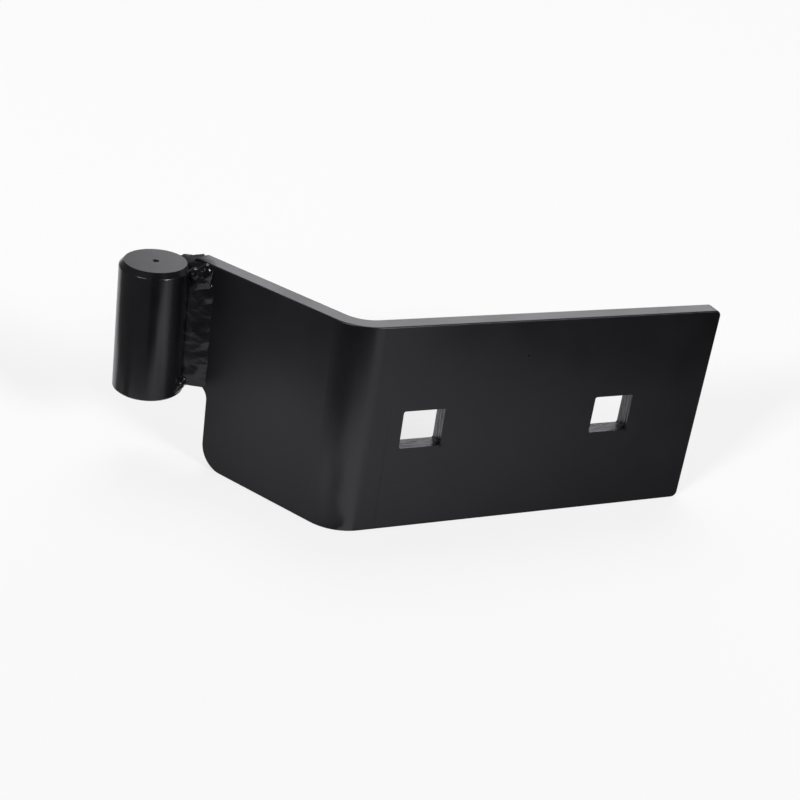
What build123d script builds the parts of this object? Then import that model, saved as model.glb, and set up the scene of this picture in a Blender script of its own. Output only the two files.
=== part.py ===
from build123d import *
import math
import os

# Tractor door hinge, one half of a lift-off pair: a bent flat plate welded to a turned barrel.
# Millimetres. Z is up along the hinge axis.
# X runs along the long leg of the plate, and Y points from its outer face to its mounting face.
# The origin is on the hinge axis, level with the bolt holes.
# Heights below are measured up from the bottom edge of the plate.

os.makedirs("parts", exist_ok=True)

# Plate stock
PLATE_HEIGHT = 50.0
PLATE_THICKNESS = 4.0
BEND_ANGLE = 60.0
BEND_OUTER_RADIUS = 11.0
EDGE_ROUND = 0.35

# Plate lengths, measured on the outer face from the corner where both legs would meet
LONG_LEG = 91.0
TAB_BOTTOM = 20.0
TAB_CLEARANCE = 0.036
NOTCH_SETBACK = 12.2
NOTCH_RADIUS = 3.0
LOWER_CORNER_RADIUS = 6.0
END_CORNER_RADIUS = 1.5
TAB_CORNER_RADIUS = 2.0

# Square holes for carriage bolts
HOLE_WIDTH = 10.0
HOLE_HEIGHT = 9.2
HOLE_CORNER_RADIUS = 0.5
HOLE_NEAR = 18.4
HOLE_FAR = 66.6
HOLE_LEVEL = 25.0

# Barrel, placed from the short leg: along it, and out from its outer face
BARREL_RADIUS = 8.0
BARREL_BOTTOM = 17.8
BARREL_TOP = 48.8
BARREL_ALONG = 52.2
BARREL_OUT = 6.5
TOP_CHAMFER_IN = 1.05
TOP_CHAMFER_DOWN = 1.25
TOP_CHAMFER_ROUND = 0.5
BOTTOM_CHAMFER = 0.4
DIMPLE_RADIUS = 0.8
DIMPLE_DEPTH = 0.7

# Blind bore for the pin of the other hinge half, under a closed top
BORE_RADIUS = 5.0
BORE_COVER = 6.0
BORE_TIP = 2.0
BORE_MOUTH_CHAMFER = 0.6

# Front weld, in the corner between the short leg's outer face and the barrel
# Weld places are past the end of the tab, along the leg and out from its outer face
FRONT_WELD_PAST = 4.2
FRONT_WELD_OUT = -10.6
FRONT_WELD_FACING = 127.0
FRONT_RIPPLE_RADIUS = 15.9
FRONT_RIPPLE_COUNT = 13
FRONT_RIPPLE_TILT = 10.0
FRONT_TILT_WANDER = 1.5
FRONT_WELD_FOOT = 1.6
FRONT_WELD_HEAD = 4.6

# Rear weld, in the corner between the end of the tab and the back of the barrel
REAR_WELD_PAST = 1.4
REAR_WELD_OUT = -0.3
REAR_WELD_FACING = -66.0
REAR_RIPPLE_RADIUS = 3.7
REAR_RIPPLE_COUNT = 13
REAR_RIPPLE_TILT = 24.0
REAR_TILT_WANDER = 6.0
REAR_WELD_FOOT = 1.4
REAR_WELD_HEAD = 2.4

# Ripples shared by both welds
RIPPLE_THICKNESS = 3.9
RIPPLE_ROUND = 1.4
RADIUS_WANDER = 0.15
TILT_PHASE = 1.7
RADIUS_PHASE = 2.3
WELD_DROP = 0.1

# Weld metal past the ends of the front weld: a crater on top, drips that follow the barrel
CRATER_PAST = -2.9
CRATER_OUT = 0.9
CRATER_SINK = 1.9
CRATER_RADIUS = 3.1
CRATER_THICKNESS = 3.2
CRATER_ROUND = 1.5
CRATER_TILT = -24.0
DRIP_ANGLES = (-45.0, -50.0, -54.0)
DRIP_RISES = (1.3, 0.4, -0.3)
DRIP_RADII = (2.0, 1.3, 0.8)

bend = math.radians(BEND_ANGLE)
short_leg_dir = Vector(-math.cos(bend), math.sin(bend), 0)
short_leg_in = Vector(math.sin(bend), math.cos(bend), 0)
foot = Vector(0, 0, -HOLE_LEVEL)
plate_corner = foot + short_leg_in * BARREL_OUT - short_leg_dir * BARREL_ALONG

# Plan planes lie flat at the plate's bottom edge; in the short leg's plan, y points out
long_leg_plan = Plane(origin=plate_corner)
short_leg_plan = Plane(origin=plate_corner, x_dir=short_leg_dir, z_dir=(0, 0, 1))
# The barrel's section plane holds the hinge axis
barrel_section = Plane(origin=foot, x_dir=(1, 0, 0), z_dir=(0, -1, 0))
# Face planes stand on the outer faces of the two legs
long_leg_face = Plane(origin=plate_corner, x_dir=(1, 0, 0), z_dir=(0, -1, 0))
short_leg_face = Plane(origin=plate_corner, x_dir=short_leg_dir, z_dir=short_leg_in)

bend_tangent = BEND_OUTER_RADIUS * math.tan(bend / 2)
bend_end = short_leg_dir * bend_tangent
short_leg = BARREL_ALONG - NOTCH_SETBACK
barrel_chord = math.sqrt(BARREL_RADIUS**2 - BARREL_OUT**2)
tab_reach = BARREL_ALONG - barrel_chord - TAB_CLEARANCE
tab_end = short_leg_dir * tab_reach

# Hinge plate: one laser-cut blank, bent once
with BuildPart() as hinge_plate:
    with BuildSketch(long_leg_plan):
        with BuildLine():
            Line((LONG_LEG, 0), (bend_tangent, 0))
            TangentArc((bend_tangent, 0), (bend_end.X, bend_end.Y), tangent=(-1, 0))
            Line((bend_end.X, bend_end.Y), (tab_end.X, tab_end.Y))
            offset(amount=PLATE_THICKNESS, side=Side.RIGHT, closed=True)
        make_face()
    extrude(amount=PLATE_HEIGHT)

    # Notch under the tab, where the barrel of the other half turns
    with BuildSketch(short_leg_face):
        with BuildLine():
            FilletPolyline(
                (short_leg, -1),
                (short_leg, TAB_BOTTOM),
                (tab_reach + 1, TAB_BOTTOM),
                radius=NOTCH_RADIUS,
            )
            Polyline(
                (tab_reach + 1, TAB_BOTTOM),
                (tab_reach + 1, -1),
                (short_leg, -1),
            )
        make_face()
    extrude(amount=PLATE_THICKNESS, mode=Mode.SUBTRACT)

    # Rounded corners of the blank
    mid_thickness = PLATE_THICKNESS / 2
    lower_corner = short_leg_face.from_local_coords((short_leg, 0, mid_thickness))
    fillet(hinge_plate.edges().sort_by_distance(lower_corner)[0], LOWER_CORNER_RADIUS)
    tab_corner = short_leg_face.from_local_coords((tab_reach, PLATE_HEIGHT, mid_thickness))
    fillet(hinge_plate.edges().sort_by_distance(tab_corner)[0], TAB_CORNER_RADIUS)
    for corner_height in (0, PLATE_HEIGHT):
        end_corner = long_leg_face.from_local_coords((LONG_LEG, corner_height, -mid_thickness))
        fillet(hinge_plate.edges().sort_by_distance(end_corner)[0], END_CORNER_RADIUS)

    # Softened rims on both faces, all the way round
    thickness_edges = hinge_plate.edges().filter_by(Axis((0, 0, 0), short_leg_in))
    thickness_edges += hinge_plate.edges().filter_by(Axis.Y)
    bend_seams = hinge_plate.edges().filter_by(Axis.Z).sort_by_distance(plate_corner)[:4]
    rims = hinge_plate.edges() - thickness_edges - bend_seams
    fillet(rims, EDGE_ROUND)

    # Square holes
    with BuildSketch(long_leg_face):
        with Locations((HOLE_NEAR, HOLE_LEVEL), (HOLE_FAR, HOLE_LEVEL)):
            RectangleRounded(HOLE_WIDTH, HOLE_HEIGHT, HOLE_CORNER_RADIUS)
    extrude(amount=-PLATE_THICKNESS, mode=Mode.SUBTRACT)

# Hinge barrel: turned bar with a closed top and a blind pin bore from below
bore_end = BARREL_TOP - BORE_COVER
with BuildPart() as hinge_barrel:
    with BuildSketch(barrel_section):
        with BuildLine():
            Polyline(
                (BORE_RADIUS + BORE_MOUTH_CHAMFER, BARREL_BOTTOM),
                (BARREL_RADIUS - BOTTOM_CHAMFER, BARREL_BOTTOM),
                (BARREL_RADIUS, BARREL_BOTTOM + BOTTOM_CHAMFER),
                (BARREL_RADIUS, BARREL_TOP - TOP_CHAMFER_DOWN),
                (BARREL_RADIUS - TOP_CHAMFER_IN, BARREL_TOP),
                (DIMPLE_RADIUS, BARREL_TOP),
                (0, BARREL_TOP - DIMPLE_DEPTH),
                (0, bore_end + BORE_TIP),
                (BORE_RADIUS, bore_end),
                (BORE_RADIUS, BARREL_BOTTOM + BORE_MOUTH_CHAMFER),
                close=True,
            )
        make_face()
    revolve(axis=Axis.Z)
    chamfer_foot = foot + Vector(BARREL_RADIUS, 0, BARREL_TOP - TOP_CHAMFER_DOWN)
    chamfer_ring = hinge_barrel.edges().filter_by(GeomType.CIRCLE).sort_by_distance(chamfer_foot)[0]
    fillet(chamfer_ring, TOP_CHAMFER_ROUND)


def rounded_disc(radius, thickness, rounding):
    """A disc with a rounded rim, the shape of one puddle of weld metal."""
    with BuildPart(mode=Mode.PRIVATE) as disc:
        Cylinder(radius, thickness)
        fillet(disc.edges().filter_by(GeomType.CIRCLE), rounding)
    return disc.part


def weld_place(centre, height, facing, tilt):
    """A place in the short leg's plan, with the side at the angle facing raised by tilt."""
    side = math.radians(facing)
    lean = math.radians(tilt)
    spot = short_leg_plan.from_local_coords((centre[0], centre[1], height))
    side_dir = short_leg_plan.x_dir * math.cos(side) + short_leg_plan.y_dir * math.sin(side)
    normal = Vector(0, 0, 1) * math.cos(lean) - side_dir * math.sin(lean)
    return Plane(origin=spot, x_dir=side_dir + Vector(0, 0, 1) * math.tan(lean), z_dir=normal)


def add_ripples(centre, facing, radius, count, tilt, tilt_wander, bottom, top):
    """A stack of tilted ripples from bottom to top, each a little different."""
    for step in range(count):
        height = bottom + (top - bottom) * step / (count - 1)
        disc = rounded_disc(
            radius + RADIUS_WANDER * math.sin(RADIUS_PHASE * step), RIPPLE_THICKNESS, RIPPLE_ROUND
        )
        lean = tilt + tilt_wander * math.sin(TILT_PHASE * step)
        with Locations(weld_place(centre, height, facing, lean)):
            add(disc)


# Front weld: ripples up the corner, a crater over the top and drips under the barrel
with BuildPart() as front_weld:
    add_ripples(
        (tab_reach + FRONT_WELD_PAST, FRONT_WELD_OUT),
        FRONT_WELD_FACING,
        FRONT_RIPPLE_RADIUS,
        FRONT_RIPPLE_COUNT,
        FRONT_RIPPLE_TILT,
        FRONT_TILT_WANDER,
        TAB_BOTTOM + FRONT_WELD_FOOT,
        BARREL_TOP - FRONT_WELD_HEAD,
    )
    with BuildSketch(short_leg_plan):
        with Locations((tab_reach, 0)):
            Rectangle(2 * BARREL_RADIUS, BARREL_RADIUS, align=(Align.CENTER, Align.MIN))
    extrude(amount=BARREL_TOP - WELD_DROP, mode=Mode.INTERSECT)
    crater_centre = (tab_reach + CRATER_PAST, CRATER_OUT)
    crater_height = BARREL_TOP - CRATER_SINK
    crater = rounded_disc(CRATER_RADIUS, CRATER_THICKNESS, CRATER_ROUND)
    with Locations(weld_place(crater_centre, crater_height, FRONT_WELD_FACING, CRATER_TILT)):
        add(crater)
    for angle, rise, radius in zip(DRIP_ANGLES, DRIP_RISES, DRIP_RADII):
        drip_x = BARREL_RADIUS * math.cos(math.radians(angle))
        drip_y = BARREL_RADIUS * math.sin(math.radians(angle))
        with Locations(foot + Vector(drip_x, drip_y, TAB_BOTTOM + rise)):
            Sphere(radius)
    with Locations(foot):
        Cylinder(
            BARREL_RADIUS,
            BARREL_TOP,
            align=(Align.CENTER, Align.CENTER, Align.MIN),
            mode=Mode.SUBTRACT,
        )
    add(hinge_plate.part, mode=Mode.SUBTRACT)

# Rear weld: ripples up the corner behind the barrel
with BuildPart() as rear_weld:
    add_ripples(
        (tab_reach + REAR_WELD_PAST, REAR_WELD_OUT),
        REAR_WELD_FACING,
        REAR_RIPPLE_RADIUS,
        REAR_RIPPLE_COUNT,
        REAR_RIPPLE_TILT,
        REAR_TILT_WANDER,
        TAB_BOTTOM + REAR_WELD_FOOT,
        BARREL_TOP - REAR_WELD_HEAD,
    )
    with BuildSketch(short_leg_plan):
        with Locations((tab_reach, 0)):
            Rectangle(BARREL_RADIUS, BARREL_RADIUS, align=(Align.MIN, Align.MAX))
        with Locations((BARREL_ALONG, BARREL_OUT)):
            Circle(BARREL_RADIUS, mode=Mode.SUBTRACT)
    extrude(amount=BARREL_TOP - WELD_DROP, mode=Mode.INTERSECT)

hinge_plate.part.label = "hinge_plate"
hinge_barrel.part.label = "hinge_barrel"
front_weld.part.label = "front_weld"
rear_weld.part.label = "rear_weld"

export_step(hinge_plate.part, "parts/hinge_plate.step")
export_step(hinge_barrel.part, "parts/hinge_barrel.step")
export_step(front_weld.part, "parts/front_weld.step")
export_step(rear_weld.part, "parts/rear_weld.step")
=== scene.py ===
import math
import random

import bmesh
import bpy
from mathutils import Matrix, Vector, noise


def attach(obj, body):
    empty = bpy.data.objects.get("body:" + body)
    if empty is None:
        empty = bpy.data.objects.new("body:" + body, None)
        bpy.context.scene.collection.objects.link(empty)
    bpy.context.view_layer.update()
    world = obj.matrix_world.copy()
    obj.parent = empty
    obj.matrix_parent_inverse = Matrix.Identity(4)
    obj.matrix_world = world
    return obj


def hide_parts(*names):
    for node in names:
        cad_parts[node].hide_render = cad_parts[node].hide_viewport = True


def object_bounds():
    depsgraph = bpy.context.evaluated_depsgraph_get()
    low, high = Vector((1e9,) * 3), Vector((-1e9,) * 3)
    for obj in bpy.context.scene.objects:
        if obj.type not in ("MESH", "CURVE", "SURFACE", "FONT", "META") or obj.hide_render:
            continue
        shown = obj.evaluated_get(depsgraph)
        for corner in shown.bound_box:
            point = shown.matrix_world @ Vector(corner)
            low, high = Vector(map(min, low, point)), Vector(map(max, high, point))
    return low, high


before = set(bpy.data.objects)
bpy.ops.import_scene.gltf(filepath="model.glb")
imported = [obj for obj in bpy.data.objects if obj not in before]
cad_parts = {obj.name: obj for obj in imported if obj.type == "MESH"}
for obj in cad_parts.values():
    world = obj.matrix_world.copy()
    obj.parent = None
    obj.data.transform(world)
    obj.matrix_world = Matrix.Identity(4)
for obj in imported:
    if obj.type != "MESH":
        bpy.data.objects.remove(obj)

# Looks for a black painted hinge half: a bent plate, a turned barrel and two weld beads.
# Metres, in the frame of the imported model. Z is up along the hinge axis.

cad_low, cad_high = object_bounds()

FRAME_PIXELS = 800
SENSOR_WIDTH = 36.0

# Sockets of the Mix node that carry colours
MIX_FIRST = 6
MIX_SECOND = 7
MIX_RESULT = 2

# Camera: where it stands, how it points, and its focal length in pixels of the 800 pixel frame
CAMERA_PLACE = Vector((-0.08751, -0.30124, 0.15131))
CAMERA_HEADING = 26.836
CAMERA_DIP = 26.317
CAMERA_ROLL = 8.544
CAMERA_FOCAL_PIXELS = 1508.15
CAMERA_CLIP = (0.01, 20)

# Floor, which glows in part where it is seen, and surroundings
FLOOR_SIZE = 6.0
FLOOR_COLOUR = (0.93, 0.93, 0.93, 1)
FLOOR_ROUGHNESS = 0.9
FLOOR_GLOW = 0.7
AMBIENT_STRENGTH = 0.22

# Softboxes: heading clockwise from +Y and elevation in degrees, then metres, and radiance
SOFTBOXES = {
    "back_softbox": dict(heading=38, elevation=27, distance=3.6, width=2.8, height=1.4, radiance=2.1),
    "left_softbox": dict(heading=239, elevation=25, distance=3.0, width=0.5, height=0.5, radiance=36.0),
    "right_softbox": dict(heading=155, elevation=25, distance=3.0, width=0.8, height=0.5, radiance=26.0),
    "top_softbox": dict(heading=20, elevation=66, distance=3.0, width=1.5, height=1.5, radiance=4.6),
}

# Painted dark reflections: faintly glowing dark sheets that show only in the gloss, standing in for dark
# surroundings; tone, height of both edges above the floor, and route
DARK_REFLECTION_CARDS = {
    "barrel_dark_reflection": dict(
        tone=0.13,
        low=0,
        high=0.4,
        route=[(-0.045, 0.06), (-0.047, 0.03), (-0.047, 0.005), (-0.043, -0.02), (-0.02, -0.044)],
    ),
    "bend_dark_reflection": dict(
        tone=0.02,
        low=0,
        high=0.4,
        route=[(-0.02, -0.044), (-0.007, -0.066), (0.001, -0.089), (0.015, -0.103), (0.046, -0.125)],
    ),
    "right_dark_reflection": dict(
        tone=0.02,
        low=0,
        high=0.4,
        route=[(0.09, -0.145), (0.13, -0.12), (0.18, -0.1), (0.25, -0.03)],
    ),
    # Painted reflection: a dark sheet beside the barrel that widens the barrel's dark reflection in the
    # leg next to it
    "leg_dark_reflection": dict(
        tone=0.11,
        low=0.0075,
        high=0.036,
        route=[(-0.02, -0.0025), (-0.02, -0.0085)],
    ),
}

# Painted shade on the reflected floor: faintly glowing grey sheets on the floor that show only in the
# gloss, mostly darkest next to the plate like a contact shadow; rows of points, from the plate outwards,
# and the tone at each point
REFLECTED_SHADE_LIFT = 0.0002
REFLECTED_SHADE_SHEETS = {
    "left_reflected_shade": [
        [(-0.004, 0.0145), (0.0105, 0.0005), (0.0215, -0.0185)],
        [(-0.008, 0.012), (0.0065, -0.0005), (0.0175, -0.02)],
        [(-0.04, 0.035), (-0.03, 0.003), (-0.019, -0.015)],
        [(-0.08, 0.05), (-0.072, 0.009), (-0.061, -0.009)],
    ],
    "bend_reflected_shade": [
        [(0.0215, -0.0185), (0.0325, -0.0385), (0.0335, -0.0425), (0.034, -0.043)],
        [(0.0175, -0.02), (0.0285, -0.0395), (0.0315, -0.044), (0.034, -0.046)],
        [(-0.019, -0.015), (-0.008, -0.034), (0.003, -0.05), (0.022, -0.053)],
        [(-0.061, -0.009), (-0.05, -0.028), (-0.03, -0.07), (-0.029, -0.071)],
    ],
    "bend_shade_card": [[(-0.014, -0.055), (-0.004, -0.085)], [(-0.002, -0.059), (0.007, -0.08)]],
    "bend_foot_reflected_shade": [[(0.0095, -0.052), (0.012, -0.066)], [(0.024, -0.0535), (0.026, -0.062)]],
    "near_reflected_shade": [
        [(0.036, -0.0405), (0.05, -0.0405), (0.07, -0.0405), (0.1, -0.0405)],
        [(0.037, -0.043), (0.05, -0.043), (0.07, -0.043), (0.1, -0.043)],
        [(0.045, -0.08), (0.07, -0.08), (0.1, -0.08), (0.13, -0.08)],
        [(0.066, -0.16), (0.1, -0.16), (0.125, -0.16), (0.15, -0.16)],
    ],
    "far_reflected_shade": [
        [(0.1, -0.0405), (0.15, -0.0405), (0.26, -0.0405)],
        [(0.1, -0.043), (0.15, -0.043), (0.26, -0.043)],
        [(0.13, -0.08), (0.16, -0.08), (0.26, -0.08)],
        [(0.15, -0.16), (0.19, -0.16), (0.27, -0.16)],
    ],
}
# Tones of the painted shade on the reflected floor, point by point
REFLECTED_SHADE_TONES = {
    "left_reflected_shade": [[0.1, 0.1, 0.12], [0.2, 0.24, 0.34], [0.12, 0.24, 0.52], [0.7, 1.0, 1.0]],
    "bend_reflected_shade": [
        [0.12, 0.12, 0.12, 0.12],
        [0.34, 0.36, 0.3, 0.22],
        [0.52, 0.52, 0.8, 0.35],
        [1.0, 0.85, 0.6, 0.6],
    ],
    "bend_shade_card": [[0.15, 0.15], [0.15, 0.15]],
    "bend_foot_reflected_shade": [[0.3, 0.3], [0.3, 0.4]],
    "near_reflected_shade": [
        [0.12, 0.12, 0.1, 0.08],
        [0.42, 0.36, 0.29, 0.18],
        [0.58, 0.5, 0.39, 0.25],
        [0.42, 0.39, 0.35, 0.26],
    ],
    "far_reflected_shade": [[0.08, 0.05, 0.03], [0.18, 0.09, 0.05], [0.25, 0.14, 0.08], [0.26, 0.15, 0.08]],
}

# Paint: semi-gloss black powder coat, with lengths in metres
PAINT_DARK = (0.004, 0.004, 0.0045, 1)
PAINT_LIGHT = (0.0062, 0.0062, 0.0068, 1)
PAINT_SPECULAR = 0.66
PAINT_TINT = (0.91, 0.9, 1.0, 1)
PLATE_ROUGHNESS = 0.312
BARREL_ROUGHNESS = 0.236
WELD_ROUGHNESS = 0.236
ROUGHNESS_WANDER = 0.035
CLOUD_LENGTH = 0.014
CLOUD_DETAIL = 3.0
CLOUD_RANGE = (0.3, 0.7)
PEEL_LENGTH = 0.0006
PEEL_DETAIL = 1.0
PEEL_HEIGHT = 0.000004
DUST_SPACING = 0.0035
DUST_RADIUS = 0.00013
DUST_CORE = 0.6
DUST_SHARE = 0.3
DUST_COLOUR = (0.03, 0.03, 0.032, 1)

# Dull spots, such as soot: centre and radius of each, then their edge, their grain and their look
SOOT_SPOTS = [
    ((0.0065, -0.0046, 0.025), 0.0054),
    ((0.05513, -0.0412, -0.0046), 0.0009),
    ((0.10333, -0.0412, -0.0046), 0.0009),
    ((0.07346, -0.04196, 0.01646), 0.0004),
]
SOOT_EDGE = 0.25
SOOT_GRAIN = 0.0011
SOOT_DETAIL = 2.0
SOOT_HEIGHT = 0.00012
PLATE_SOOT = dict(specular=0.06, roughness=0.5)
WELD_SOOT = dict(specular=0.4, roughness=0.14)

# Cut walls of the square holes: centres along the plate, half size and the grain of the cut
HOLE_PLACES = (0.05013, 0.09833)
WALL_HALF_WIDTH = 0.00502
WALL_HALF_HEIGHT = 0.00462
WALL_GRAIN = 0.0006
WALL_DETAIL = 2.0
WALL_STRETCH = (0.12, 1, 0.12)
WALL_HEIGHT = 0.0003

# Line that the press brake left beside the bend: its place, its half widths, and the heights of its fade
BRAKE_LINE_PLACE = 0.0418
BRAKE_LINE_CORE = 0.00008
BRAKE_LINE_EDGE = 0.0004
BRAKE_LINE_DEPTH = 0.000005
BRAKE_LINE_SPECULAR = 0.58
BRAKE_LINE_TOP = 0.012
BRAKE_LINE_FULL = -0.012

# Turned end of the barrel under its paint; a wave texture of scale 1 has one ring every 0.314
TURNED_ROUGHNESS = 0.37
TURNED_PITCH = 0.00018
TURNED_HEIGHT = 0.0000015
TURNED_WOBBLE = 0.3
END_FACE_TILT = (0.97, 0.99)
WAVE_PERIOD = 0.314

# Weld beads, melted together from their forms; each swell is a length and a height
BEAD_VOXEL = 0.00016
BEAD_SMOOTH_FACTOR = 0.5
BEAD_SWELL_STRETCH = 0.7
BEAD_SWELL_SHIFT = 50
BEAD_SEED = 7
FRONT_SWELLS = [(0.0034, 0.00024), (0.0015, 0.00009), (0.0007, 0.00002)]
FRONT_SMOOTHING = 16
REAR_SWELLS = [(0.0036, 0.00012), (0.0012, 0.00004)]
REAR_SMOOTHING = 24
REAR_OFFSET = 0.00012

# Form of the front bead: the corner where barrel and leg meet, and how far the bead reaches from it
BEAD_ROOT = Vector((0.007985, -0.00083, 0))
ALONG_LEG = Vector((0.5, -0.8660254, 0))
OUT_OF_LEG = Vector((-0.8660254, -0.5, 0))
LEG_TOE = 0.0074
BARREL_TOE_ANGLE = -36.0
BARREL_RADIUS = 0.008
TOE_SINK = 0.0003
ROOT_SINK = 0.0009
BEAD_BULGE = 0.0002
BEAD_BOTTOM = -0.0058
BEAD_TOP = 0.0226
BOTTOM_END = 0.001
TOP_END = 0.004
END_SHARE = 0.05
BEAD_RINGS = 80
BEAD_ACROSS = 14

# Crown over the top of the joint: the corners of a sloping lump of weld metal
BEAD_CROWN = [
    (0.0063, 0.0036, 0.0236),
    (0.0115, 0.0012, 0.0249),
    (0.0103, -0.004, 0.0249),
    (0.0117, -0.0069, 0.0243),
    (0.0088, -0.0064, 0.0218),
    (0.0107, -0.0066, 0.0195),
    (0.0079, -0.0056, 0.019),
    (0.0064, -0.0046, 0.0195),
    (0.0071, -0.0014, 0.0236),
    (0.007, 0.001, 0.0237),
    (0.0075, 0.0, 0.018),
    (0.0105, 0.0008, 0.018),
]

# Grains of spatter on the crown, and drips round the barrel: angle, height and radius
SPATTER = [(0.0078, -0.0043, 0.0222), (0.0096, -0.005, 0.0229), (0.0103, -0.0052, 0.0234)]
SPATTER_RADIUS = 0.0014
DRIP_SINK = 0.0005
BALL_SUBDIVISIONS = 3
BEAD_DRIPS = [
    (-32.0, -0.0043, 0.0017),
    (-40.0, -0.0045, 0.0016),
    (-47.0, -0.0052, 0.0012),
    (-52.0, -0.0058, 0.0008),
]


def direction(heading, elevation):
    """The unit vector that points that way from the object."""
    turn = math.radians(heading)
    lift = math.radians(elevation)
    return Vector((math.sin(turn) * math.cos(lift), math.cos(turn) * math.cos(lift), math.sin(lift)))


def make_camera():
    """The photograph's own viewpoint."""
    forward = direction(CAMERA_HEADING, -CAMERA_DIP)
    level_right = forward.cross(Vector((0, 0, 1))).normalized()
    level_up = level_right.cross(forward)
    roll = math.radians(CAMERA_ROLL)
    right = level_right * math.cos(roll) + level_up * math.sin(roll)
    up = level_up * math.cos(roll) - level_right * math.sin(roll)
    data = bpy.data.cameras.new("camera")
    data.sensor_width = SENSOR_WIDTH
    data.lens = CAMERA_FOCAL_PIXELS / FRAME_PIXELS * SENSOR_WIDTH
    data.clip_start, data.clip_end = CAMERA_CLIP
    camera = bpy.data.objects.new("camera", data)
    turn = Matrix((right, up, -forward)).transposed()
    camera.matrix_world = Matrix.LocRotScale(CAMERA_PLACE, turn, None)
    bpy.context.scene.collection.objects.link(camera)
    bpy.context.scene.camera = camera


def new_material(name):
    """An empty node material, its nodes and its links."""
    material = bpy.data.materials.new(name)
    material.use_nodes = True
    material.node_tree.nodes.clear()
    return material, material.node_tree.nodes, material.node_tree.links


def show_surface(nodes, links, shader):
    """Puts a shader on the material's surface."""
    output = nodes.new("ShaderNodeOutputMaterial")
    links.new(shader, output.inputs["Surface"])


def noise_field(nodes, links, place, length, detail):
    """Noise whose features are about that long."""
    field = nodes.new("ShaderNodeTexNoise")
    field.inputs["Scale"].default_value = 1 / length
    field.inputs["Detail"].default_value = detail
    links.new(place, field.inputs["Vector"])
    return field.outputs["Fac"]


def spread(nodes, links, value, start, end, low, high):
    """A value mapped from start..end to low..high."""
    mapped = nodes.new("ShaderNodeMapRange")
    mapped.inputs["From Min"].default_value = start
    mapped.inputs["From Max"].default_value = end
    mapped.inputs["To Min"].default_value = low
    mapped.inputs["To Max"].default_value = high
    links.new(value, mapped.inputs["Value"])
    return mapped.outputs["Result"]


def calculate(nodes, links, operation, first, second):
    """Two values, or a value and a number, combined."""
    step = nodes.new("ShaderNodeMath")
    step.operation = operation
    links.new(first, step.inputs[0])
    if isinstance(second, (int, float)):
        step.inputs[1].default_value = second
    else:
        links.new(second, step.inputs[1])
    return step.outputs["Value"]


def largest(nodes, links, values):
    """The largest of several values."""
    result = values[0]
    for value in values[1:]:
        result = calculate(nodes, links, "MAXIMUM", result, value)
    return result


def axis_values(nodes, links, vector):
    """The X, Y and Z of a vector."""
    axes = nodes.new("ShaderNodeSeparateXYZ")
    links.new(vector, axes.inputs["Vector"])
    return axes.outputs["X"], axes.outputs["Y"], axes.outputs["Z"]


def mixed_colour(nodes, links, share, first, second):
    """A colour between two others, each of them a socket or a colour."""
    mix = nodes.new("ShaderNodeMix")
    mix.data_type = "RGBA"
    links.new(share, mix.inputs["Factor"])
    for value, socket in ((first, mix.inputs[MIX_FIRST]), (second, mix.inputs[MIX_SECOND])):
        if isinstance(value, tuple):
            socket.default_value = value
        else:
            links.new(value, socket)
    return mix.outputs[MIX_RESULT]


def bumped(nodes, links, height, metres, below=None):
    """A normal bent by a height from 0 to 1, on top of the bump below it."""
    bump = nodes.new("ShaderNodeBump")
    bump.inputs["Distance"].default_value = metres
    links.new(height, bump.inputs["Height"])
    if below is not None:
        links.new(below, bump.inputs["Normal"])
    return bump.outputs["Normal"]


def seen_ray(nodes, links):
    """1 on a ray of the camera, of gloss or through glass, and 0 on any other."""
    path = nodes.new("ShaderNodeLightPath")
    rays = [path.outputs[kind] for kind in ("Is Camera Ray", "Is Glossy Ray", "Is Transmission Ray")]
    return largest(nodes, links, rays)


def make_floor():
    """A pale floor under the plate's bottom edge, lit in part like a light table where it is seen."""
    level = cad_low.z
    half = FLOOR_SIZE / 2
    mesh = bpy.data.meshes.new("floor")
    corners = [(-half, -half, level), (half, -half, level), (half, half, level), (-half, half, level)]
    mesh.from_pydata(corners, [], [(0, 1, 2, 3)])
    floor = bpy.data.objects.new("floor", mesh)
    bpy.context.scene.collection.objects.link(floor)
    material, nodes, links = new_material("pale_floor")
    diffuse = nodes.new("ShaderNodeBsdfDiffuse")
    diffuse.inputs["Color"].default_value = FLOOR_COLOUR
    diffuse.inputs["Roughness"].default_value = FLOOR_ROUGHNESS
    glow = nodes.new("ShaderNodeEmission")
    glow.inputs["Strength"].default_value = 1.0
    share = calculate(nodes, links, "MULTIPLY", seen_ray(nodes, links), FLOOR_GLOW)
    mix = nodes.new("ShaderNodeMixShader")
    links.new(share, mix.inputs["Fac"])
    links.new(diffuse.outputs["BSDF"], mix.inputs[1])
    links.new(glow.outputs["Emission"], mix.inputs[2])
    show_surface(nodes, links, mix.outputs["Shader"])
    mesh.materials.append(material)


def make_world():
    """The soft light of a dim studio."""
    world = bpy.data.worlds.new("surroundings")
    bpy.context.scene.world = world
    world.use_nodes = True
    nodes, links = world.node_tree.nodes, world.node_tree.links
    nodes.clear()
    background = nodes.new("ShaderNodeBackground")
    background.inputs["Color"].default_value = (1, 1, 1, 1)
    background.inputs["Strength"].default_value = AMBIENT_STRENGTH
    output = nodes.new("ShaderNodeOutputWorld")
    links.new(background.outputs["Background"], output.inputs["Surface"])


def make_softbox(name, heading, elevation, distance, width, height, radiance):
    """A rectangular lamp that faces the object."""
    data = bpy.data.lights.new(name, "AREA")
    data.shape = "RECTANGLE"
    data.size = width
    data.size_y = height
    data.energy = radiance * math.pi * width * height
    lamp = bpy.data.objects.new(name, data)
    towards = direction(heading, elevation)
    centre = (cad_low + cad_high) / 2
    turn = (-towards).to_track_quat("-Z", "Y")
    lamp.matrix_world = Matrix.LocRotScale(centre + towards * distance, turn, None)
    bpy.context.scene.collection.objects.link(lamp)


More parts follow.
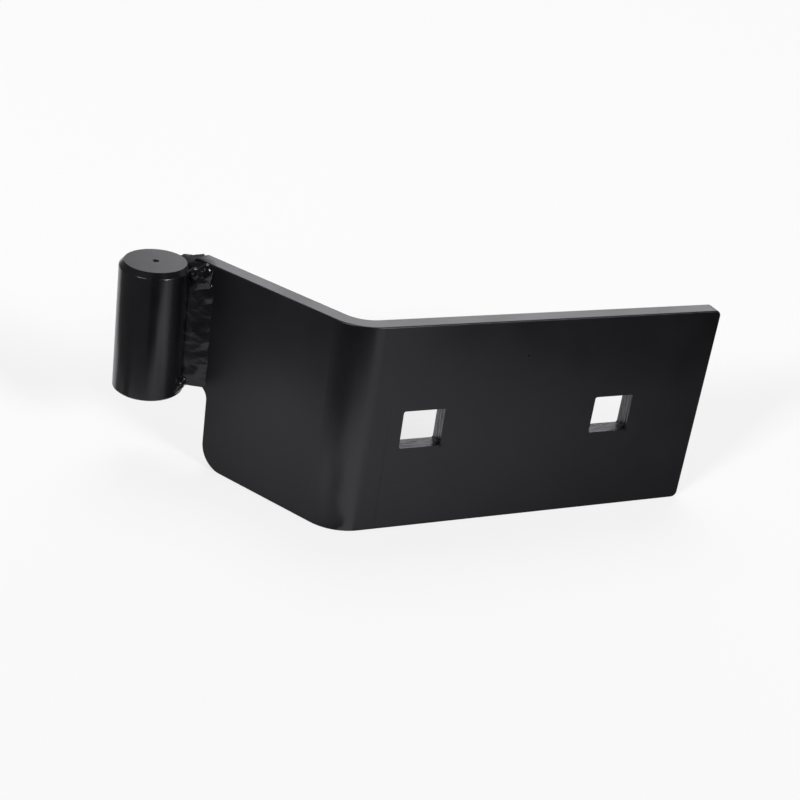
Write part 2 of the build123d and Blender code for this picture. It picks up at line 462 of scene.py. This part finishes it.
def add_card(name, mesh):
    """Puts a card in the scene so that only glossy rays meet it: it paints a reflection and nothing else.
    """
    card = bpy.data.objects.new(name, mesh)
    bpy.context.scene.collection.objects.link(card)
    card.visible_camera = False
    card.visible_diffuse = False
    card.visible_transmission = False
    card.visible_shadow = False


def make_dark_reflection_card(name, tone, low, high, route):
    """A dark upright sheet that glows faintly and paints a dark reflection, as a photographer's card
    darkens a reflection.
    """
    floor_level = cad_low.z
    verts = []
    for x, y in route:
        verts += [(x, y, floor_level + low), (x, y, floor_level + high)]
    faces = [(2 * i, 2 * i + 2, 2 * i + 3, 2 * i + 1) for i in range(len(route) - 1)]
    mesh = bpy.data.meshes.new(name)
    mesh.from_pydata(verts, [], faces)
    add_card(name, mesh)
    material, nodes, links = new_material(name)
    surface = nodes.new("ShaderNodeEmission")
    surface.inputs["Strength"].default_value = tone
    show_surface(nodes, links, surface.outputs["Emission"])
    mesh.materials.append(material)


def make_reflected_shade_sheet(name, rows, row_tones):
    """A sheet that lies on the floor and paints shade into the floor's reflection, its tone blended
    between the points of its rows.
    """
    level = cad_low.z + REFLECTED_SHADE_LIFT
    points = [point for row in rows for point in row]
    point_tones = [tone for row in row_tones for tone in row]
    width = len(rows[0])
    faces = []
    for row in range(len(rows) - 1):
        for column in range(width - 1):
            start = row * width + column
            faces.append((start, start + 1, start + width + 1, start + width))
    mesh = bpy.data.meshes.new(name)
    mesh.from_pydata([(x, y, level) for x, y in points], [], faces)
    tones = mesh.attributes.new("tone", "FLOAT", "POINT")
    for value, tone in zip(tones.data, point_tones):
        value.value = tone
    add_card(name, mesh)
    material, nodes, links = new_material(name)
    shade = nodes.new("ShaderNodeAttribute")
    shade.attribute_name = "tone"
    surface = nodes.new("ShaderNodeEmission")
    links.new(shade.outputs["Fac"], surface.inputs["Strength"])
    show_surface(nodes, links, surface.outputs["Emission"])
    mesh.materials.append(material)


def dust_mask(nodes, links, place):
    """1 on a few tiny specks and 0 elsewhere."""
    cells = nodes.new("ShaderNodeTexVoronoi")
    cells.inputs["Scale"].default_value = 1 / DUST_SPACING
    links.new(place, cells.inputs["Vector"])
    reach = DUST_RADIUS / DUST_SPACING
    near = spread(nodes, links, cells.outputs["Distance"], reach * DUST_CORE, reach, 1.0, 0.0)
    channels = nodes.new("ShaderNodeSeparateColor")
    links.new(cells.outputs["Color"], channels.inputs["Color"])
    chosen = calculate(nodes, links, "LESS_THAN", channels.outputs["Red"], DUST_SHARE)
    return calculate(nodes, links, "MULTIPLY", near, chosen)


def turned_mask(nodes, links):
    """1 on faces that look straight up and 0 elsewhere."""
    surface = nodes.new("ShaderNodeNewGeometry")
    _, _, upright = axis_values(nodes, links, surface.outputs["Normal"])
    return spread(nodes, links, upright, *END_FACE_TILT, 0.0, 1.0)


def turned_rings(nodes, links, place):
    """Fine rings round the barrel's axis, from 0 to 1."""
    rings = nodes.new("ShaderNodeTexWave")
    rings.wave_type = "RINGS"
    rings.rings_direction = "Z"
    rings.inputs["Scale"].default_value = WAVE_PERIOD / TURNED_PITCH
    rings.inputs["Distortion"].default_value = TURNED_WOBBLE
    links.new(place, rings.inputs["Vector"])
    return rings.outputs["Fac"]


def soot_mask(nodes, links, place):
    """1 in the dull spots of weld soot and spatter, with uneven edges."""
    uneven = noise_field(nodes, links, place, SOOT_GRAIN, SOOT_DETAIL)
    spots = []
    for centre, radius in SOOT_SPOTS:
        away = nodes.new("ShaderNodeVectorMath")
        away.operation = "DISTANCE"
        links.new(place, away.inputs[0])
        away.inputs[1].default_value = centre
        wander = calculate(nodes, links, "MULTIPLY", uneven, SOOT_EDGE * radius)
        reach = calculate(nodes, links, "ADD", away.outputs["Value"], wander)
        inner = radius * (1 - SOOT_EDGE)
        outer = radius * (1 + SOOT_EDGE)
        spots.append(spread(nodes, links, reach, inner, outer, 1.0, 0.0))
    return largest(nodes, links, spots)


def wall_mask(nodes, links, place):
    """1 on the walls of the square holes."""
    along, _, height = axis_values(nodes, links, place)
    away = calculate(nodes, links, "ABSOLUTE", height, 0.0)
    level = calculate(nodes, links, "LESS_THAN", away, WALL_HALF_HEIGHT)
    walls = []
    for centre in HOLE_PLACES:
        offset = calculate(nodes, links, "SUBTRACT", along, centre)
        width = calculate(nodes, links, "ABSOLUTE", offset, 0.0)
        inside = calculate(nodes, links, "LESS_THAN", width, WALL_HALF_WIDTH)
        walls.append(calculate(nodes, links, "MULTIPLY", inside, level))
    return largest(nodes, links, walls)


def brake_line_mask(nodes, links, place):
    """1 on the line beside the bend, fading out upwards."""
    along, _, height = axis_values(nodes, links, place)
    offset = calculate(nodes, links, "SUBTRACT", along, BRAKE_LINE_PLACE)
    away = calculate(nodes, links, "ABSOLUTE", offset, 0.0)
    line = spread(nodes, links, away, BRAKE_LINE_CORE, BRAKE_LINE_EDGE, 1.0, 0.0)
    fade = spread(nodes, links, height, BRAKE_LINE_FULL, BRAKE_LINE_TOP, 1.0, 0.0)
    return calculate(nodes, links, "MULTIPLY", line, fade)


def cut_grain(nodes, links, place):
    """Lines that run along the walls of a cut, from 0 to 1."""
    stretch = nodes.new("ShaderNodeVectorMath")
    stretch.operation = "MULTIPLY"
    links.new(place, stretch.inputs[0])
    stretch.inputs[1].default_value = WALL_STRETCH
    return noise_field(nodes, links, stretch.outputs["Vector"], WALL_GRAIN, WALL_DETAIL)


def paint_material(name, gloss_roughness, turned=False, cut=False, soot_look=None):
    """Semi-gloss black powder coat: orange peel, clouds of gloss and tone, and a little dust.

    Turned paint has rings on the end face, cut paint has the holes' grain and the brake line, and a
    soot look gives the specular and the roughness of its sooty spots.
    """
    material, nodes, links = new_material(name)
    place = nodes.new("ShaderNodeTexCoord").outputs["Object"]
    shader = nodes.new("ShaderNodeBsdfPrincipled")
    shader.inputs["Specular IOR Level"].default_value = PAINT_SPECULAR
    shader.inputs["Specular Tint"].default_value = PAINT_TINT

    cloud = noise_field(nodes, links, place, CLOUD_LENGTH, CLOUD_DETAIL)
    low = gloss_roughness - ROUGHNESS_WANDER
    high = gloss_roughness + ROUGHNESS_WANDER
    roughness = spread(nodes, links, cloud, *CLOUD_RANGE, low, high)
    tone = spread(nodes, links, cloud, *CLOUD_RANGE, 0.0, 1.0)
    colour = mixed_colour(nodes, links, tone, PAINT_DARK, PAINT_LIGHT)
    dust = dust_mask(nodes, links, place)
    colour = mixed_colour(nodes, links, dust, colour, DUST_COLOUR)
    peel = noise_field(nodes, links, place, PEEL_LENGTH, PEEL_DETAIL)
    normal = bumped(nodes, links, peel, PEEL_HEIGHT)
    if turned:
        end_face = turned_mask(nodes, links)
        rings = calculate(nodes, links, "MULTIPLY", turned_rings(nodes, links, place), end_face)
        normal = bumped(nodes, links, rings, TURNED_HEIGHT, normal)
        extra = calculate(nodes, links, "MULTIPLY", end_face, TURNED_ROUGHNESS - gloss_roughness)
        roughness = calculate(nodes, links, "ADD", roughness, extra)
    if cut:
        grain = cut_grain(nodes, links, place)
        lines = calculate(nodes, links, "MULTIPLY", grain, wall_mask(nodes, links, place))
        normal = bumped(nodes, links, lines, WALL_HEIGHT, normal)
        brake_line = brake_line_mask(nodes, links, place)
        normal = bumped(nodes, links, brake_line, -BRAKE_LINE_DEPTH, normal)
    if soot_look is not None:
        soot = soot_mask(nodes, links, place)
        uneven = noise_field(nodes, links, place, SOOT_GRAIN, SOOT_DETAIL)
        lumps = calculate(nodes, links, "MULTIPLY", uneven, soot)
        normal = bumped(nodes, links, lumps, SOOT_HEIGHT, normal)
        duller = calculate(nodes, links, "MULTIPLY", soot, soot_look["roughness"] - gloss_roughness)
        roughness = calculate(nodes, links, "ADD", roughness, duller)
        specular = spread(nodes, links, soot, 0.0, 1.0, PAINT_SPECULAR, soot_look["specular"])
        if cut:
            faint = spread(nodes, links, brake_line, 0.0, 1.0, 1.0, BRAKE_LINE_SPECULAR / PAINT_SPECULAR)
            specular = calculate(nodes, links, "MULTIPLY", specular, faint)
        links.new(specular, shader.inputs["Specular IOR Level"])

    links.new(roughness, shader.inputs["Roughness"])
    links.new(colour, shader.inputs["Base Color"])
    links.new(normal, shader.inputs["Normal"])
    show_surface(nodes, links, shader.outputs["BSDF"])
    return material


def finish_node(name, material):
    """Gives a CAD node its material."""
    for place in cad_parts[name].material_slots:
        place.material = material


def add_ball(form, centre, radius):
    """Adds a ball to a form."""
    place = Matrix.Translation(centre)
    bmesh.ops.create_icosphere(form, subdivisions=BALL_SUBDIVISIONS, radius=radius, matrix=place)


def front_bead_form():
    """The front bead: a closed tube of sections from bottom to top, with its crown, spatter and drips."""
    turn = math.radians(BARREL_TOE_ANGLE)
    barrel_toe = Vector((math.cos(turn), math.sin(turn), 0)) * (BARREL_RADIUS - TOE_SINK)
    leg_toe = BEAD_ROOT + ALONG_LEG * LEG_TOE - OUT_OF_LEG * TOE_SINK
    outward = (leg_toe - barrel_toe).cross(Vector((0, 0, 1))).normalized()
    if outward.dot(OUT_OF_LEG) < 0:
        outward = -outward
    buried = BEAD_ROOT - OUT_OF_LEG * ROOT_SINK
    form = bmesh.new()
    rings = []
    for step in range(BEAD_RINGS + 1):
        height = BEAD_BOTTOM + (BEAD_TOP - BEAD_BOTTOM) * step / BEAD_RINGS
        low_end = max(0.0, 1 - (height - BEAD_BOTTOM) / BOTTOM_END)
        top_end = max(0.0, 1 - (BEAD_TOP - height) / TOP_END)
        share = max(END_SHARE, math.sqrt(1 - max(low_end, top_end) ** 2))
        ring = []
        for across in range(BEAD_ACROSS + 1):
            part = across / BEAD_ACROSS
            bulge = BEAD_BULGE * 4 * part * (1 - part)
            place = leg_toe.lerp(barrel_toe, part) + outward * bulge
            place = buried.lerp(place, share)
            place.z = height
            ring.append(form.verts.new(place))
        ring.append(form.verts.new((buried.x, buried.y, height)))
        rings.append(ring)
    for lower, upper in zip(rings, rings[1:]):
        for i in range(len(lower)):
            j = (i + 1) % len(lower)
            form.faces.new((lower[i], lower[j], upper[j], upper[i]))
    form.faces.new(rings[0])
    form.faces.new(list(reversed(rings[-1])))
    crown = [form.verts.new(corner) for corner in BEAD_CROWN]
    bmesh.ops.convex_hull(form, input=crown)
    for centre in SPATTER:
        add_ball(form, centre, SPATTER_RADIUS)
    for angle, height, radius in BEAD_DRIPS:
        turn = math.radians(angle)
        reach = BARREL_RADIUS - DRIP_SINK
        add_ball(form, (math.cos(turn) * reach, math.sin(turn) * reach, height), radius)
    bmesh.ops.recalc_face_normals(form, faces=form.faces)
    mesh = bpy.data.meshes.new("front_bead")
    form.to_mesh(mesh)
    form.free()
    return mesh


def make_bead(node_name, form, smoothing, offset, swells, material):
    """A weld bead in place of a CAD weld: its form melted together and given uneven swells."""
    bead = bpy.data.objects.new(node_name + "_bead", form)
    bpy.context.scene.collection.objects.link(bead)
    remesh = bead.modifiers.new("remesh", "REMESH")
    remesh.mode = "VOXEL"
    remesh.voxel_size = BEAD_VOXEL
    remesh.use_smooth_shade = True
    soften = bead.modifiers.new("soften", "SMOOTH")
    soften.factor = BEAD_SMOOTH_FACTOR
    soften.iterations = smoothing
    graph = bpy.context.evaluated_depsgraph_get()
    mesh = bpy.data.meshes.new_from_object(bead.evaluated_get(graph))
    bead.modifiers.clear()
    bead.data = mesh

    chance = random.Random(BEAD_SEED)
    shifts = []
    for _ in swells:
        shifts.append(Vector([chance.uniform(-BEAD_SWELL_SHIFT, BEAD_SWELL_SHIFT) for _ in range(3)]))
    normals = [vertex.normal.copy() for vertex in mesh.vertices]
    for vertex, normal in zip(mesh.vertices, normals):
        spot = Vector((vertex.co.x * BEAD_SWELL_STRETCH, vertex.co.y * BEAD_SWELL_STRETCH, vertex.co.z))
        rise = offset
        for (length, height), shift in zip(swells, shifts):
            rise += height * noise.noise(spot / length + shift)
        place = vertex.co + normal * rise
        vertex.co = [min(max(place[i], cad_low[i]), cad_high[i]) for i in range(3)]

    mesh.materials.clear()
    mesh.materials.append(material)
    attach(bead, "root")
    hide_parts(node_name)


make_camera()
make_floor()
make_world()
for softbox, values in SOFTBOXES.items():
    make_softbox(softbox, **values)
# Painted dark reflections, seen only in the gloss
for card, values in DARK_REFLECTION_CARDS.items():
    make_dark_reflection_card(card, **values)
# Painted shade on the floor's reflection, seen only in the gloss
for card, card_rows in REFLECTED_SHADE_SHEETS.items():
    make_reflected_shade_sheet(card, card_rows, REFLECTED_SHADE_TONES[card])

plate_paint = paint_material("plate_paint", PLATE_ROUGHNESS, cut=True, soot_look=PLATE_SOOT)
barrel_paint = paint_material("barrel_paint", BARREL_ROUGHNESS, turned=True)
weld_paint = paint_material("weld_paint", WELD_ROUGHNESS, soot_look=WELD_SOOT)
finish_node("hinge_plate", plate_paint)
finish_node("hinge_barrel", barrel_paint)
make_bead("front_weld", front_bead_form(), FRONT_SMOOTHING, 0.0, FRONT_SWELLS, weld_paint)
rear_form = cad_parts["rear_weld"].data.copy()
make_bead("rear_weld", rear_form, REAR_SMOOTHING, REAR_OFFSET, REAR_SWELLS, weld_paint)

bpy.context.scene.view_settings.view_transform = "Standard"
